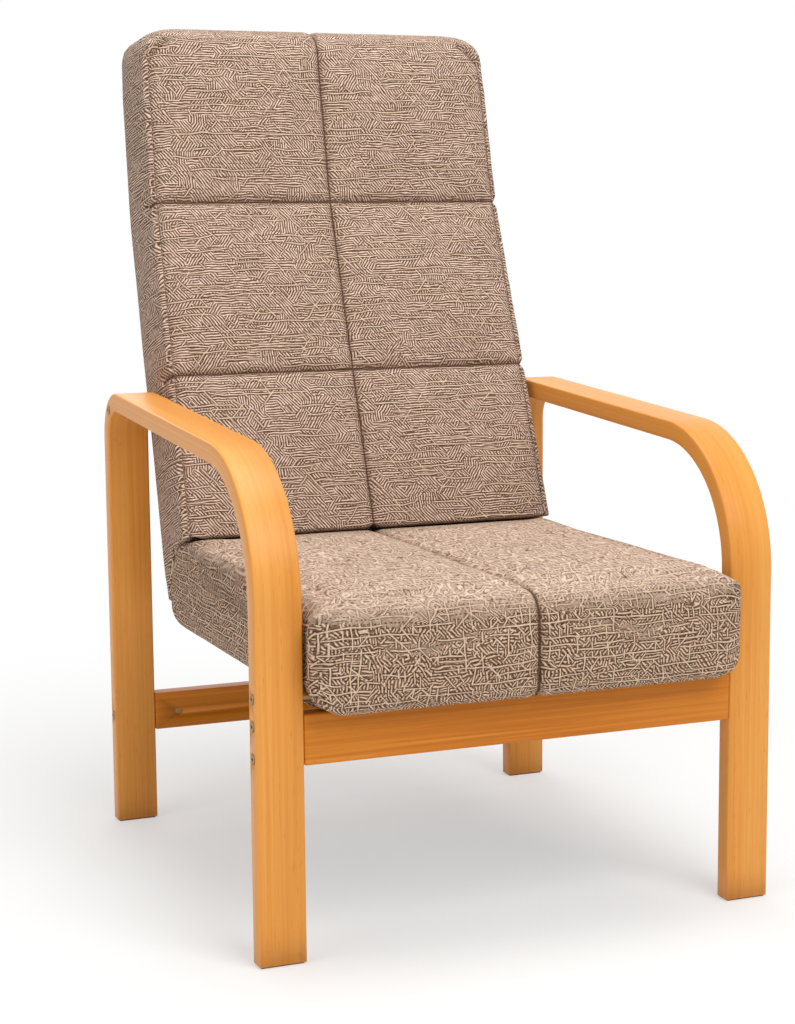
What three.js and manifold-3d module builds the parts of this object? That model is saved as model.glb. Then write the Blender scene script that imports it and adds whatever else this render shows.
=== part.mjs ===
import * as THREE from "three";
import { mergeVertices } from "three/addons/utils/BufferGeometryUtils.js";
import Module from "manifold-3d";

// A fireside chair: two bent laminated arm frames joined by two rails, with an upholstered seat and back
// between them. Lengths are in millimetres and angles in degrees. +Z is up, the chair faces -Y, and left is
// the side at -X. Y is zero on the front of the legs, and the finished chair is then centred over its origin.

// Overall
const frameWidth = 640;
const frameDepth = 641;
const fit = 0.3; // gap left between touching pieces
const cutOverrun = 5; // how far a cut runs past the face it opens

// Arm frames
const stripWidth = 55;
const stripThickness = 24;
const armHeight = 555.5; // top of the arm, carried forward to the front of the leg
const armRise = 3.15; // slope of the arm, up towards the back
const frontBendRadius = 166;
const rearBendRadius = 62;
const stripEdge = 2.2;
const backBoltBearing = 49; // where the back's bolt sits round the rear bend
const frontBendSteps = 14;
const rearBendSteps = 9;

// Rails
const frontRailBottom = 223;
const frontRailHeight = 57;
const rearRailBottom = 123.5;
const rearRailHeight = 50.5;
const railThickness = 24;
const railEdge = 2;

// Feet
const glideThickness = 2;
const glideMargin = 3;

// Bolts, barrel nuts, inserts, sleeves and dowels
const shankRadius = 3;
const boltLength = 96;
const headRadius = 6;
const headThickness = 2.6;
const headProud = 0.8;
const headEdge = 0.5;
const socketAcross = 4.6;
const socketDepth = 1.8;
const tipEdge = 0.8;
const frontRailBoltInset = 10.5; // from the rail's upper and lower edges
const rearRailBoltDrop = 27.5; // from the rail's upper edge
const seatBoltRise = 20; // above the front rail
const nutRadius = 5;
const nutLength = 20;
const nutDistance = 33; // from the leg's inner face
const slotWidth = 1.4;
const slotDepth = 1.2;
const insertRadius = 5;
const insertLength = 18;
const sleeveRadius = 8;
const dowelRadius = 4;
const dowelLength = 40;
const dowelDrop = 10; // from the rail's upper edge
const roundSteps = 20;

// Seat
const cushionSideGap = 6; // between a cushion and each arm frame
const seatOverhang = 36; // in front of the legs
const seatThickness = 123;
const seatFrontTopRadius = 32;
const seatFrontBottomRadius = 16;
const seatNoseRadius = 85;
const seatSideBottom = 40;
const seatSideTop = 24;
const seatSideFront = 26;
const seatCrown = 9;
const seatFrontCrown = 4;
const cushionGap = 1; // between the seat's rear end and the back

// Back
const backLean = 20;
const headLean = 12.2;
const lowerPanel = 222;
const middlePanel = 237;
const upperPanel = 236;
const bendLength = 60;
const backThickness = 120;
const backTaper = 13; // narrowing of each side of the back, from the seat up to its top
const backBoltDepth = 85.2; // of the back's bolts, behind its front face
const heelRadius = 85; // the curve from under the seat up into the rear of the back
const backTipLift = 7; // of the back's lower edge, above where its front and rear curves would meet
const backSideTop = 45;
const backSideFront = 16;
const backSideRear = 12;
const backSideBelow = 4;
const backTopFrontRadius = 20;
const backTopRearRadius = 26;
const backCrown = 8;
const seamDepth = 5.5;
const pinchWidth = 20;
const leastCorner = 4;

// Where the cushions' outlines have points, as shares of each straight
const levelShares = [0, 0.35, 0.7];
const topShares = [0.94, 0.82, 0.6, 0.4, 0.18, 0.06];
const faceShares = [0.75, 0.5, 0.25];
const upperShare = 0.85;
const middleShare = 0.5;
const lowerShare = 0.12;
const edgeShares = [0, 0.08, 0.2, 0.4, 0.68, 1];

// Side boards and cross members inside the upholstery
const boardThickness = 24;
const boardCover = 21; // of upholstery over the outer face of each side board
const boardInset = 7;
const boardDepth = 42;
const boardFront = 20; // ahead of the legs
const boardTopDrop = 45;
const boardCorner = 20;
const memberThickness = 22;
const rearMemberSet = 5; // behind the line where the back meets the seat
const backRailHeight = 40;
const backRailStart = 14;

// Springs, webbing, foam and covers
const springWire = 1.6;
const springCount = 5;
const springAmplitude = 20;
const springWaves = 10;
const springArch = 12;
const springEndInset = 10;
const springStepsPerWave = 6;
const springSides = 5;
const bandWidth = 50;
const bandThickness = 2;
const bandPlaces = [110, 240, 370, 560];
const foamTopCover = 14;
const foamFront = 16;
const dustCoverThickness = 1.2;
const dustCoverLap = 10;
const flangeWidth = 26;
const rearCoverThickness = 5;

// Sizes worked out from the ones above
const innerHalf = frameWidth / 2 - stripWidth;
const cushionHalfWidth = innerHalf - cushionSideGap;
const topHalfWidth = cushionHalfWidth - backTaper;
const boardHalfWidth = cushionHalfWidth - boardCover;
const footHeight = glideThickness + fit;
const frontRailTop = frontRailBottom + frontRailHeight;
const rearRailTop = rearRailBottom + rearRailHeight;
const legMiddle = stripThickness / 2;
const seatBottom = frontRailTop + fit;
const seatTop = seatBottom + seatThickness;
const backLength = lowerPanel + middlePanel + upperPanel;
const boardBottom = seatBottom + boardInset;
const boardTop = boardBottom + boardDepth;
const boardInner = boardHalfWidth - boardThickness;
const springSpacing = (2 * boardInner) / springCount;
const boardRearDepth = backThickness - boardInset;
const boardFrontDepth = boardRearDepth - boardDepth;
const boardEnd = backLength - boardTopDrop;
const springHeight = boardTop + fit + springWire;
const foamBottom = springHeight + springArch + springWire + fit;
const foamTop = seatTop - foamTopCover;
const bandDepth = boardFrontDepth - fit - bandThickness;
const seatBoltHeight = frontRailTop + seatBoltRise;

const wasm = await Module();
wasm.setup();

const toRadians = THREE.MathUtils.degToRad;
const toDegrees = THREE.MathUtils.radToDeg;

// Solids
function solidOf(geometry) {
  const plain = geometry.clone();
  plain.deleteAttribute("normal");
  plain.deleteAttribute("uv");
  const merged = mergeVertices(plain);
  const mesh = new wasm.Mesh({
    numProp: 3,
    vertProperties: merged.attributes.position.array,
    triVerts: new Uint32Array(merged.index.array),
  });
  return new wasm.Manifold(mesh);
}

function cut(geometry, tools) {
  const solid = tools.reduce((rest, tool) => rest.subtract(solidOf(tool)), solidOf(geometry));
  const mesh = solid.getMesh();
  const result = new THREE.BufferGeometry();
  result.setAttribute("position", new THREE.BufferAttribute(mesh.vertProperties, 3));
  result.setIndex(new THREE.BufferAttribute(mesh.triVerts, 1));
  const faceted = result.toNonIndexed();
  faceted.computeVertexNormals();
  return faceted;
}

// Points of an arc in the side view, as [y, z]
function arc(centreY, centreZ, radius, from, to, steps) {
  return Array.from({ length: steps + 1 }, (_, i) => {
    const angle = toRadians(from + ((to - from) * i) / steps);
    return [centreY + radius * Math.cos(angle), centreZ + radius * Math.sin(angle)];
  });
}

// A side-view outline [y, z] carried across the chair from one X to another
const sideways = new THREE.Matrix4().makeBasis(
  new THREE.Vector3(0, 1, 0),
  new THREE.Vector3(0, 0, 1),
  new THREE.Vector3(1, 0, 0),
);

function prismX(outline, fromX, toX, edge = 0) {
  const shape = new THREE.Shape(outline.map(([y, z]) => new THREE.Vector2(y, z)));
  const geometry = new THREE.ExtrudeGeometry(shape, {
    depth: toX - fromX - 2 * edge,
    bevelEnabled: edge > 0,
    bevelThickness: edge,
    bevelSize: edge,
    bevelOffset: -edge,
    bevelSegments: 1,
  });
  geometry.translate(0, 0, fromX + edge);
  return geometry.applyMatrix4(sideways);
}

function roundedRectangle(fromY, fromZ, toY, toZ, radius, steps = 2) {
  return [
    ...arc(toY - radius, fromZ + radius, radius, -90, 0, steps),
    ...arc(toY - radius, toZ - radius, radius, 0, 90, steps),
    ...arc(fromY + radius, toZ - radius, radius, 90, 180, steps),
    ...arc(fromY + radius, fromZ + radius, radius, 180, 270, steps),
  ];
}

function rodX(radius, fromX, toX, y, z) {
  const rod = new THREE.CylinderGeometry(radius, radius, toX - fromX, roundSteps);
  return rod.rotateZ(Math.PI / 2).translate((fromX + toX) / 2, y, z);
}

function rodY(radius, fromY, toY, x, z) {
  const rod = new THREE.CylinderGeometry(radius, radius, toY - fromY, roundSteps);
  return rod.translate(x, (fromY + toY) / 2, z);
}

// Arm frames: the outer and inner faces of the strip are the same path at two insets
function stripPath(inset) {
  const slope = toRadians(armRise);
  const height = (y, drop) => armHeight + Math.tan(slope) * y - drop / Math.cos(slope);
  const front = frontBendRadius - inset;
  const rear = rearBendRadius - inset;
  const frontY = frontBendRadius;
  const rearY = frameDepth - rearBendRadius;
  return {
    points: [
      [inset, footHeight],
      ...arc(frontY, height(frontY, frontBendRadius), front, 180, 90 + armRise, frontBendSteps),
      ...arc(rearY, height(rearY, rearBendRadius), rear, 90 + armRise, 0, rearBendSteps),
      [frameDepth - inset, footHeight],
    ],
    rearBend: [rearY, height(rearY, rearBendRadius)],
  };
}

const rearBend = stripPath(0).rearBend;
const backBolt = [
  rearBend[0] + (rearBendRadius - legMiddle) * Math.cos(toRadians(backBoltBearing)),
  rearBend[1] + (rearBendRadius - legMiddle) * Math.sin(toRadians(backBoltBearing)),
];

// The back stands where its side boards meet those bolts, and the rear of the seat goes with it
const backRise = (backBolt[1] - seatTop) * Math.sin(toRadians(backLean));
const hipDepth = backBolt[0] - (backBoltDepth + backRise) / Math.cos(toRadians(backLean));
const rearMember = hipDepth + rearMemberSet;

// Every bolt runs along X through an arm frame; each place is [y, z]
const boltPlaces = {
  front_rail_upper: [legMiddle, frontRailTop - frontRailBoltInset],
  front_rail_lower: [legMiddle, frontRailBottom + frontRailBoltInset],
  seat: [legMiddle, seatBoltHeight],
  rear_rail: [frameDepth - legMiddle, rearRailTop - rearRailBoltDrop],
  back: backBolt,
};
const dowelPlace = [frameDepth - legMiddle, rearRailTop - dowelDrop];
const headSeat = frameWidth / 2 + headProud - headThickness;

function armFrame(side) {
  const outline = [...stripPath(0).points, ...stripPath(stripThickness).points.reverse()];
  const strip = prismX(outline, innerHalf, frameWidth / 2, stripEdge);
  const holes = Object.values(boltPlaces).flatMap(([y, z]) => [
    rodX(shankRadius + fit, innerHalf - cutOverrun, frameWidth / 2 + cutOverrun, y, z),
    rodX(headRadius + fit, headSeat - fit, frameWidth / 2 + cutOverrun, y, z),
  ]);
  const dowelHole = rodX(
    dowelRadius + fit,
    innerHalf - cutOverrun,
    innerHalf + dowelLength / 2 + fit,
    ...dowelPlace,
  );
  return mirrored(cut(strip, [...holes, dowelHole]), side);
}

// A shape made on the +X side, or its mirror image on the -X side
function mirrored(geometry, side) {
  if (side > 0) return geometry;
  const copy = geometry.clone().scale(-1, 1, 1);
  const place = copy.getAttribute("position");
  for (let i = 0; i < place.count; i += 3) {
    const kept = new THREE.Vector3().fromBufferAttribute(place, i + 1);
    place.setXYZ(i + 1, place.getX(i + 2), place.getY(i + 2), place.getZ(i + 2));
    place.setXYZ(i + 2, kept.x, kept.y, kept.z);
  }
  copy.computeVertexNormals();
  return copy;
}

// Rails, bored for the bolts, the barrel nuts and the dowels
function rail(fromY, bottom, height, places, nutsFromY, nutsToY, dowels) {
  const half = innerHalf - fit;
  const outline = roundedRectangle(fromY, bottom, fromY + railThickness, bottom + height, railEdge);
  const holes = [-1, 1].flatMap((side) => {
    const end = side * (half + cutOverrun);
    const across = (radius, depth, [y, z]) => {
      const stop = side * (innerHalf - depth);
      return rodX(radius, Math.min(end, stop), Math.max(end, stop), y, z);
    };
    const boltDepth = headSeat - boltLength;
    return [
      ...places.map((place) => across(shankRadius + fit, innerHalf - boltDepth + fit, place)),
      ...places.map(([, z]) =>
        rodY(nutRadius + fit, nutsFromY, nutsToY, side * (innerHalf - nutDistance), z),
      ),
      ...dowels.map((place) => across(dowelRadius + fit, dowelLength / 2 + fit, place)),
    ];
  });
  return cut(prismX(outline, -half, half), holes);
}

// Hardware, each turned about its own axis
function boltShape() {
  const profile = [
    [0, -headThickness],
    [headRadius - headEdge, -headThickness],
    [headRadius, headEdge - headThickness],
    [headRadius, 0],
    [shankRadius, 0],
    [shankRadius, boltLength - tipEdge],
    [shankRadius - tipEdge, boltLength],
    [0, boltLength],
  ];
  const body = new THREE.LatheGeometry(profile.map((p) => new THREE.Vector2(...p)), roundSteps);
  const socket = new THREE.CylinderGeometry(socketAcross / 2, socketAcross / 2, socketDepth + cutOverrun, 6);
  socket.translate(0, socketDepth - headThickness - (socketDepth + cutOverrun) / 2, 0);
  return cut(body, [socket]);
}

function tubeShape(inner, outer, length) {
  const profile = [
    [inner, 0],
    [outer, 0],
    [outer, length],
    [inner, length],
    [inner, 0],
  ];
  return new THREE.LatheGeometry(profile.map((p) => new THREE.Vector2(...p)), roundSteps);
}

function barrelNutShape() {
  const body = new THREE.CylinderGeometry(nutRadius, nutRadius, nutLength, roundSteps);
  const bore = rodX(shankRadius + fit, -nutRadius - cutOverrun, nutRadius + cutOverrun, 0, 0);
  const slot = new THREE.BoxGeometry(slotWidth, slotDepth + cutOverrun, 2 * nutRadius + cutOverrun);
  slot.translate(0, (slotDepth + cutOverrun - nutLength) / 2 - cutOverrun, 0);
  return cut(body, [bore, slot]);
}

// The back's side view: how far along its front face from the seat, and how deep behind that face
function backPoint(along, depth) {
  const bendStart = lowerPanel + middlePanel - bendLength / 2;
  const turned = THREE.MathUtils.clamp((along - bendStart) / bendLength, 0, 1);
  const lean = toRadians(backLean + (headLean - backLean) * turned);
  const below = Math.min(along, bendStart);
  const above = Math.max(along - bendStart - bendLength, 0);
  const middle = toRadians(backLean + ((headLean - backLean) * turned) / 2);
  const curved = bendLength * turned;
  const y =
    below * Math.sin(toRadians(backLean)) + curved * Math.sin(middle) + above * Math.sin(toRadians(headLean));
  const z =
    below * Math.cos(toRadians(backLean)) + curved * Math.cos(middle) + above * Math.cos(toRadians(headLean));
  return [hipDepth + y + depth * Math.cos(lean), seatTop + z - depth * Math.sin(lean)];
}

// How far along the back a point at a given depth reaches a given height, below its bend
function alongAtHeight(height, depth) {
  return (height - seatTop + depth * Math.sin(toRadians(backLean))) / Math.cos(toRadians(backLean));
}

// Centre of a curve that turns from level into the back's lean, at a depth behind its front face
function turnCentre(depth, radius, bottom) {
  const inner = depth - radius;
  return backPoint(alongAtHeight(bottom + radius, inner), inner);
}

const heelCentre = turnCentre(backThickness, heelRadius, seatBottom);
const noseCentre = [hipDepth - leastCorner, seatTop - seatNoseRadius];

// Rear point where a curve round the nose's centre meets one round the heel's centre
function tipPoint(noseRadius, heelCurveRadius) {
  const gap = new THREE.Vector2(heelCentre[0] - noseCentre[0], heelCentre[1] - noseCentre[1]);
  const reach = gap.length();
  const along = (noseRadius ** 2 - heelCurveRadius ** 2 + reach ** 2) / (2 * reach);
  const off = Math.sqrt(noseRadius ** 2 - along ** 2);
  gap.divideScalar(reach);
  return [noseCentre[0] + along * gap.x + off * gap.y, noseCentre[1] + along * gap.y - off * gap.x];
}

// Direction of a point from a curve's centre, and of the point of the curve at a given height
const bearing = (centre, point) => toDegrees(Math.atan2(point[1] - centre[1], point[0] - centre[0]));
const bearingAtHeight = (centre, radius, height) => toDegrees(Math.asin((height - centre[1]) / radius));
const bendStations = [-1, -0.5, 0, 0.5, 1].map(
  (share) => lowerPanel + middlePanel + (share * bendLength) / 2,
);

// Side boards: one L-shaped board each side, under the seat and up the back; grow makes the slot around it
function boardOutline(grow) {
  const outer = turnCentre(boardRearDepth, heelRadius - boardInset, boardBottom);
  const inner = turnCentre(boardFrontDepth, boardCorner, boardTop);
  return [
    [-boardFront - grow, boardBottom - grow],
    ...arc(...outer, heelRadius - boardInset + grow, -90, -backLean, 8),
    ...bendStations.map((along) => backPoint(along, boardRearDepth + grow)),
    backPoint(boardEnd + grow, boardRearDepth + grow),
    backPoint(boardEnd + grow, boardFrontDepth - grow),
    ...bendStations.map((along) => backPoint(along, boardFrontDepth - grow)).reverse(),
    ...arc(...inner, boardCorner - grow, -backLean, -90, 5),
    [-boardFront - grow, boardTop + grow],
  ];
}

function backPrism(fromAlong, toAlong, fromDepth, toDepth, halfWidth) {
  const bends = bendStations.filter((along) => along > fromAlong && along < toAlong);
  const stations = [fromAlong, ...bends, toAlong];
  const outline = [
    ...stations.map((along) => backPoint(along, toDepth)),
    ...stations.map((along) => backPoint(along, fromDepth)).reverse(),
  ];
  return prismX(outline, -halfWidth, halfWidth);
}

// A panel of padding swells between its seams, and is drawn in sharply at each seam
const swell = (share) => 1 - Math.abs(2 * THREE.MathUtils.clamp(share, 0, 1) - 1) ** 3;
const pinch = (distance) => Math.max(0, 1 - Math.abs(distance) / pinchWidth) ** 2;
const rounded = (radius, fromSide) => {
  const short = Math.max(radius - fromSide, 0);
  return radius - Math.sqrt(radius * radius - short * short);
};
const blend = THREE.MathUtils.lerp;

// Sections of a cushion run from one side to the other, close together where its side turns under
function crossStations() {
  const edge = edgeShares.map((share) => cushionHalfWidth - share * backSideTop);
  const flat = cushionHalfWidth - backSideTop;
  const panel = faceShares.map((share) => blend(pinchWidth, flat, share));
  const half = [...edge, ...panel, pinchWidth, pinchWidth / 3];
  return [...half.map((x) => -x), 0, ...half.reverse()];
}

// A cushion lofted across the chair; outlineAt gives each section's points as { y, z, crown, seam, row }
function cushion(outlineAt, crown, widthAt) {
  const sections = crossStations().map((x) => {
    const outline = outlineAt(cushionHalfWidth - Math.abs(x));
    const count = outline.length;
    return outline.map((point, i) => {
      const before = outline[(i + count - 1) % count];
      const after = outline[(i + 1) % count];
      const along = new THREE.Vector2(after.y - before.y, after.z - before.z).normalize();
      const raised = crown * (point.crown || 0) * swell(Math.abs(x) / cushionHalfWidth);
      const drawn = seamDepth * Math.max((point.seam || 0) * pinch(x), point.row || 0);
      const out = raised - drawn;
      const place = new THREE.Vector3(x, point.y + out * along.y, point.z - out * along.x);
      place.x *= widthAt(place.z) / cushionHalfWidth;
      return place;
    });
  });
  return loft(sections);
}

function loft(sections) {
  const count = sections[0].length;
  const points = sections.flat();
  const triangles = [];
  for (let s = 0; s + 1 < sections.length; s += 1) {
    for (let i = 0; i < count; i += 1) {
      const a = s * count + i;
      const b = s * count + ((i + 1) % count);
      triangles.push(a, b, b + count, a, b + count, a + count);
    }
  }
  const cap = (section) =>
    THREE.ShapeUtils.triangulateShape(section.map((p) => new THREE.Vector2(p.y, p.z)), []);
  const last = (sections.length - 1) * count;
  cap(sections[0]).forEach(([a, b, c]) => triangles.push(a, c, b));
  cap(sections[sections.length - 1]).forEach(([a, b, c]) => triangles.push(last + a, last + b, last + c));
  const geometry = new THREE.BufferGeometry().setFromPoints(points);
  geometry.setIndex(triangles);
  const faceted = geometry.toNonIndexed();
  faceted.computeVertexNormals();
  return faceted;
}

// Points of an outline with what happens at each, told by its share of the way along them
const marked = (points, marks) => points.map(([y, z], i) => ({ y, z, ...marks(i / (points.length - 1)) }));

// Seat outline: underside, heel, nose under the back, crowned top and rounded front
function seatOutline(fromSide) {
  const bottom = rounded(seatSideBottom, fromSide);
  const top = rounded(seatSideTop, fromSide);
  const front = rounded(seatSideFront, fromSide);
  const bottomZ = seatBottom + bottom;
  const topZ = seatTop - top;
  const frontY = front - seatOverhang;
  const topCorner = Math.max(seatFrontTopRadius - Math.max(top, front), leastCorner);
  const bottomCorner = Math.max(seatFrontBottomRadius - Math.max(bottom, front), leastCorner);
  const heel = heelRadius - bottom;
  const nose = seatNoseRadius - top;
  const tip = tipPoint(nose, heel);
  const topFront = frontY + topCorner;
  const bottomFront = frontY + bottomCorner;
  const underside = levelShares.map((share) => [blend(bottomFront, heelCentre[0], share), bottomZ]);
  const crownTop = topShares.map((share) => [blend(topFront, noseCentre[0], share), topZ]);
  const face = faceShares.map((share) => [frontY, blend(bottomZ + bottomCorner, topZ - topCorner, share)]);
  const lastCorner = arc(bottomFront, bottomZ + bottomCorner, bottomCorner, 180, 270, 4);
  const frontShare = seatFrontCrown / seatCrown;
  return [
    ...marked(underside, () => ({})),
    ...marked(arc(...heelCentre, heel, -90, bearing(heelCentre, tip), 4), () => ({})),
    ...marked(arc(...noseCentre, nose, bearing(noseCentre, tip), 90, 6).slice(1), (share) => ({
      seam: share === 1 ? 1 : 0,
    })),
    ...crownTop.map(([y, z], i) => ({ y, z, crown: swell(topShares[i]), seam: 1 })),
    ...marked(arc(topFront, topZ - topCorner, topCorner, 90, 180, 5), () => ({ seam: 1 })),
    ...face.map(([y, z], i) => ({ y, z, crown: frontShare * swell(faceShares[i]), seam: 1 })),
    ...marked(lastCorner.slice(0, -1), (share) => ({ seam: 1 - share })),
  ];
}

// The lowest share of each row, and the highest of the rows below the top one, lie close to their seams
function rowShares(length, row) {
  const near = pinchWidth / length;
  const upper = row === 0 ? [upperShare] : [1 - near / 3, 1 - near];
  const lower = row === 2 ? [lowerShare] : [near, near / 3, 0];
  return [...upper, middleShare, ...lower];
}

// Back outline: heel, rear, rounded top, three padded rows down the front, and the hollow over the seat
function backOutline(fromSide) {
  const top = rounded(backSideTop, fromSide);
  const front = rounded(backSideFront, fromSide);
  const rear = rounded(backSideRear, fromSide);
  const below = rounded(backSideBelow, fromSide);
  const heel = heelRadius - rear;
  const hollow = seatNoseRadius + cushionGap + below;
  const tipHeight = tipPoint(hollow, heel)[1] + backTipLift;
  const rearDepth = backThickness - rear;
  const end = backLength - top;
  const corner = (depth, radius, from, to) =>
    arc(0, 0, radius, from, to, 4).map(([up, deep]) => backPoint(end - radius + up, depth + deep));
  const seams = [lowerPanel + middlePanel, lowerPanel];
  const rows = [
    [seams[0], end - backTopFrontRadius],
    [seams[1], seams[0]],
    [0, seams[1]],
  ];
  const panels = rows.flatMap(([from, to], row) =>
    rowShares(to - from, row).map((share) => {
      const along = blend(from, to, share);
      const [y, z] = backPoint(along, front);
      const drawn = Math.max(...seams.map((seam) => pinch(along - seam)));
      return { y, z, crown: swell(share), seam: 1, row: drawn };
    }),
  );
  const rearStations = [...levelShares.slice(1).map((share) => share * seams[0]), ...bendStations];
  const heelStart = bearingAtHeight(heelCentre, heel, tipHeight);
  const hollowStart = bearingAtHeight(noseCentre, hollow, seatTop);
  const hollowEnd = bearingAtHeight(noseCentre, hollow, tipHeight);
  return [
    ...marked(arc(...heelCentre, heel, heelStart, -backLean, 3), () => ({})),
    ...marked(rearStations.map((along) => backPoint(along, rearDepth)), () => ({})),
    ...marked(corner(rearDepth - backTopRearRadius, backTopRearRadius, 90, 0), () => ({})),
    ...marked(corner(front + backTopFrontRadius, backTopFrontRadius, 0, -90), (share) => ({ seam: share })),
    ...panels,
    ...marked(arc(...noseCentre, hollow, hollowStart, hollowEnd, 6), () => ({})),
  ];
}

function taperedWidth(z) {
  const end = backPoint(backLength, 0)[1];
  return blend(cushionHalfWidth, topHalfWidth, THREE.MathUtils.clamp((z - seatTop) / (end - seatTop), 0, 1));
}

// Both cushions are hollowed for the boards, the foam and what carries it, and bored for the sleeves
function sleeveBores([y, z]) {
  const past = cushionHalfWidth + cutOverrun;
  return [
    rodX(sleeveRadius + fit, -past, -boardHalfWidth, y, z),
    rodX(sleeveRadius + fit, boardHalfWidth, past, y, z),
  ];
}

function boardSlots() {
  const outline = boardOutline(fit);
  return [
    prismX(outline, boardInner - fit, boardHalfWidth + fit),
    prismX(outline, -boardHalfWidth - fit, fit - boardInner),
  ];
}

function box(fromX, fromY, fromZ, toX, toY, toZ) {
  const shape = new THREE.BoxGeometry(toX - fromX, toY - fromY, toZ - fromZ);
  return shape.translate((fromX + toX) / 2, (fromY + toY) / 2, (fromZ + toZ) / 2);
}

function seatUpholstery() {
  const half = boardHalfWidth + fit;
  const opening = boardHalfWidth - flangeWidth;
  const rearEnd = rearMember + memberThickness;
  return cut(
    cushion(seatOutline, seatCrown, () => cushionHalfWidth),
    [
      box(-half, -boardFront - fit, boardBottom - fit, half, rearEnd + fit, foamBottom),
      box(-half, -foamFront - fit, foamBottom - fit, half, rearMember + fit, foamTop + fit),
      box(-opening, railThickness + flangeWidth, seatBottom - cutOverrun, opening, rearMember, boardBottom),
      ...boardSlots(),
      ...sleeveBores(boltPlaces.seat),
    ],
  );
}

function backUpholstery() {
  const half = boardHalfWidth + fit;
  return cut(cushion(backOutline, backCrown, taperedWidth), [
    backPrism(backRailStart - fit, boardEnd + fit, foamTopCover - fit, backThickness + cutOverrun, half),
    ...boardSlots(),
    ...sleeveBores(boltPlaces.back),
  ]);
}

// Zigzag springs lie across the seat from front to rear, arched a little in the middle
class ZigzagCurve extends THREE.Curve {
  getPoint(share, target = new THREE.Vector3()) {
    const from = springEndInset - boardFront;
    const to = rearMember + memberThickness - springEndInset;
    const sway = springAmplitude * Math.sin(2 * Math.PI * springWaves * share);
    const arch = springArch * Math.sin(Math.PI * share);
    return target.set(sway, blend(from, to, share), springHeight + arch);
  }
}

function springShape() {
  const section = new THREE.Shape(
    arc(0, 0, springWire, 0, 360 - 360 / springSides, springSides - 1).map((p) => new THREE.Vector2(...p)),
  );
  return new THREE.ExtrudeGeometry(section, {
    extrudePath: new ZigzagCurve(),
    steps: springWaves * springStepsPerWave,
    bevelEnabled: false,
  });
}

// Materials
const material = (color, roughness, metalness = 0) =>
  new THREE.MeshStandardMaterial({ color, roughness, metalness });
const finishes = {
  beech: () => material(0xdb9a55, 0.38),
  fabric: () => material(0xa58f7c, 0.95),
  zinc: () => material(0xb9b3a6, 0.35, 0.9),
  brass: () => material(0xb59a63, 0.4, 0.9),
  plywood: () => material(0xc9a878, 0.7),
  springSteel: () => material(0x7d8085, 0.4, 0.9),
  webbing: () => material(0x4a443d, 0.9),
  foam: () => material(0xe9dcae, 0.95),
  lining: () => material(0x2d2a28, 0.95),
  glide: () => material(0x3a332c, 0.6),
};

function piece(name, geometry, finish) {
  const mesh = new THREE.Mesh(geometry, finishes[finish]());
  mesh.name = name;
  return mesh;
}

const sides = [
  ["left", -1],
  ["right", 1],
];
const chair = new THREE.Group();
const base = new THREE.Group();
const seat = new THREE.Group();
const back = new THREE.Group();
const hardware = new THREE.Group();
chair.add(base, seat, back, hardware);

// Base: arm frames, rails and glides
const rearRailFront = frameDepth - railThickness;
const nutSide = (railThickness - nutLength) / 2;
base.add(
  piece(
    "front_rail",
    rail(
      0,
      frontRailBottom,
      frontRailHeight,
      [boltPlaces.front_rail_upper, boltPlaces.front_rail_lower],
      nutSide - fit,
      railThickness + cutOverrun,
      [],
    ),
    "beech",
  ),
  piece(
    "rear_rail",
    rail(
      rearRailFront,
      rearRailBottom,
      rearRailHeight,
      [boltPlaces.rear_rail],
      rearRailFront - cutOverrun,
      frameDepth - nutSide + fit,
      [dowelPlace],
    ),
    "beech",
  ),
);

const glideShape = prismX(
  roundedRectangle(glideMargin, 0, stripThickness - glideMargin, glideThickness, glideThickness / 3),
  innerHalf + glideMargin,
  frameWidth / 2 - glideMargin,
);
for (const [name, side] of sides) {
  base.add(piece(name + "_arm_frame", armFrame(side), "beech"));
  for (const [end, y] of [["front", 0], ["rear", frameDepth - stripThickness]]) {
    const glide = piece(name + "_" + end + "_glide", mirrored(glideShape.clone(), side), "glide");
    glide.position.y = y;
    base.add(glide);
  }
}

// Hardware: bolts point inwards from each side
for (const [name, side] of sides) {
  for (const [place, [y, z]] of Object.entries(boltPlaces)) {
    const bolt = piece(name + "_" + place + "_bolt", boltShape(), "zinc");
    bolt.position.set(side * headSeat, y, z);
    bolt.rotation.z = (side * Math.PI) / 2;
    hardware.add(bolt);
  }
  for (const place of ["front_rail_upper", "front_rail_lower", "rear_rail"]) {
    const nut = piece(name + "_" + place + "_barrel_nut", barrelNutShape(), "zinc");
    const [y, z] = boltPlaces[place];
    nut.position.set(side * (innerHalf - nutDistance), y, z);
    if (place !== "rear_rail") nut.rotation.z = Math.PI;
    hardware.add(nut);
  }
  for (const place of ["seat", "back"]) {
    const [y, z] = boltPlaces[place];
    const sleeveLength = innerHalf - boardHalfWidth - 2 * fit;
    const sleeve = piece(
      name + "_" + place + "_sleeve",
      tubeShape(shankRadius + fit, sleeveRadius, sleeveLength),
      "zinc",
    );
    sleeve.position.set(side * (innerHalf - fit), y, z);
    const insert = piece(
      name + "_" + place + "_insert",
      tubeShape(shankRadius + fit, insertRadius, insertLength),
      "brass",
    );
    insert.position.set(side * boardHalfWidth, y, z);
    for (const tube of [sleeve, insert]) {
      tube.rotation.z = (side * Math.PI) / 2;
      hardware.add(tube);
    }
  }
  const dowel = piece(
    name + "_rear_rail_dowel",
    rodX(dowelRadius, innerHalf - dowelLength / 2, innerHalf + dowelLength / 2, ...dowelPlace),
    "beech",
  );
  dowel.position.x = side > 0 ? 0 : -2 * innerHalf;
  hardware.add(dowel);
}

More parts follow.
